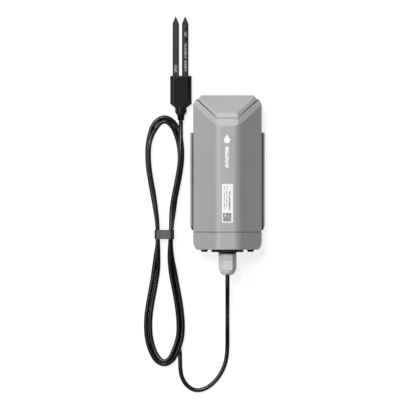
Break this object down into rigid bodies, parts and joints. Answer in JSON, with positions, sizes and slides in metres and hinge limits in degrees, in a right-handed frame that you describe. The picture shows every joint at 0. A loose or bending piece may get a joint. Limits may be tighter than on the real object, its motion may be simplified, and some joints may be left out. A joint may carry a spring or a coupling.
{
  "type": "soil moisture sensor",
  "caption": "Faceted outdoor radio housing with a slanted top cover, slide-on wall bracket and cable gland, wired by a tied hank of cable to a pronged soil probe.",
  "frame": {"origin": "middle of the housing and bracket's bounding box in X and Y, on the surface that the bracket's back lies on; the cable and the probe are left out of that box", "axes": "+Z out of the housing's front face, +Y towards its slanted top end, +X to its right as seen from the front"},
  "size_m": [0.1391, 0.4332, 0.0562],
  "materials": {
    "housing_grey": "fine moulded texture",
    "cover_grey": "fine moulded texture",
    "cap_grey": "fine moulded texture",
    "bracket_grey": "fine moulded texture",
    "seal_rubber": "matte",
    "black_screw": "black oxide",
    "label_white": "satin film",
    "black_plastic": "satin",
    "gland_grey": "satin nylon",
    "gland_claw": "nylon",
    "button_white": "satin",
    "lens_clear": "clear",
    "frame_grey": "satin",
    "board_green": "solder mask",
    "screw_steel": "zinc plated",
    "shield_can": "tinned",
    "chip_black": "moulded",
    "antenna_wire": "plated wire",
    "terminal_green": "moulded",
    "cell_sleeve": "shrink sleeve",
    "cradle_black": "moulded",
    "contact_metal": "nickel plated",
    "plug_white": "moulded",
    "lead_insulation": "wire insulation",
    "ribbon_film": "film",
    "probe_black": "overmoulded",
    "prong_laminate": "glass laminate",
    "electrode": "dark plated",
    "cable_sheath": "flexible sheath",
    "tie_fabric": "woven"
  },
  "bodies": {
    "unit": {"housing": "housing_grey", "top_cover": "cover_grey", "top_gasket": "seal_rubber", "end_cap": "cap_grey", "seam_gasket": "seal_rubber", "cap_screws": "black_screw", "front_label": "label_white", "port_gasket": "seal_rubber", "gland_washer": "seal_rubber", "gland_body": "gland_grey", "gland_locknut": "gland_grey", "gland_seal": "seal_rubber", "button_ring": "black_plastic", "led_lens": "lens_clear", "vent_plug": "black_plastic", "inner_frame": "frame_grey", "main_board": "board_green", "board_screws": "screw_steel", "radio_module": "shield_can", "controller_chip": "chip_black", "board_parts": "chip_black", "coil_antenna": "antenna_wire", "sensor_terminal": "terminal_green", "terminal_screws": "screw_steel", "battery_cell": "cell_sleeve", "battery_cradle": "cradle_black", "cradle_screws": "screw_steel", "battery_contacts": "contact_metal", "battery_strap": "tie_fabric", "battery_plug": "plug_white", "battery_leads": "lead_insulation", "switch_board": "board_green", "push_switch": "chip_black", "switch_ribbon": "ribbon_film", "sensor_cores": "lead_insulation", "probe_head": "probe_black", "probe_board": "board_green", "thermistor": "chip_black", "prong_left": "prong_laminate", "prong_right": "prong_laminate", "ec_electrodes": "electrode", "probe_boot": "probe_black", "cable_entry": "cable_sheath", "cable_tail": "cable_sheath", "cable_hank": "cable_sheath", "cable_lead": "cable_sheath", "hank_tie": "tie_fabric"},
    "bracket": {"bracket": "bracket_grey"},
    "gland_claws": {"gland_cage": "gland_claw"},
    "gland_dome_nut": {"gland_nut": "gland_grey"},
    "button": {"push_button": "button_white"}
  },
  "joints": [
    {"name": "bracket_slide", "type": "slide", "parent": "unit", "child": "bracket", "axis": [0, -1, 0], "range_m": [0, 0.065]},
    {"name": "gland_nut_travel", "type": "slide", "parent": "unit", "child": "gland_claws", "axis": [0, -1, 0], "range_m": [0, 0.00451]},
    {"name": "gland_nut_turn", "type": "hinge", "parent": "gland_claws", "child": "gland_dome_nut", "pos_m": [0, -0.095, 0.033], "axis": [0, -1, 0], "range_deg": [0, 1080]},
    {"name": "button_press", "type": "slide", "parent": "unit", "child": "button", "axis": [0, 1, 0], "range_m": [0, 0.001], "stiffness_N_per_m": 800, "springref_m": -0.0005}
  ],
  "couplings": [
    {"joint": "gland_nut_travel", "follows": "gland_nut_turn", "m_per_rad": 0.00023873}
  ]
}
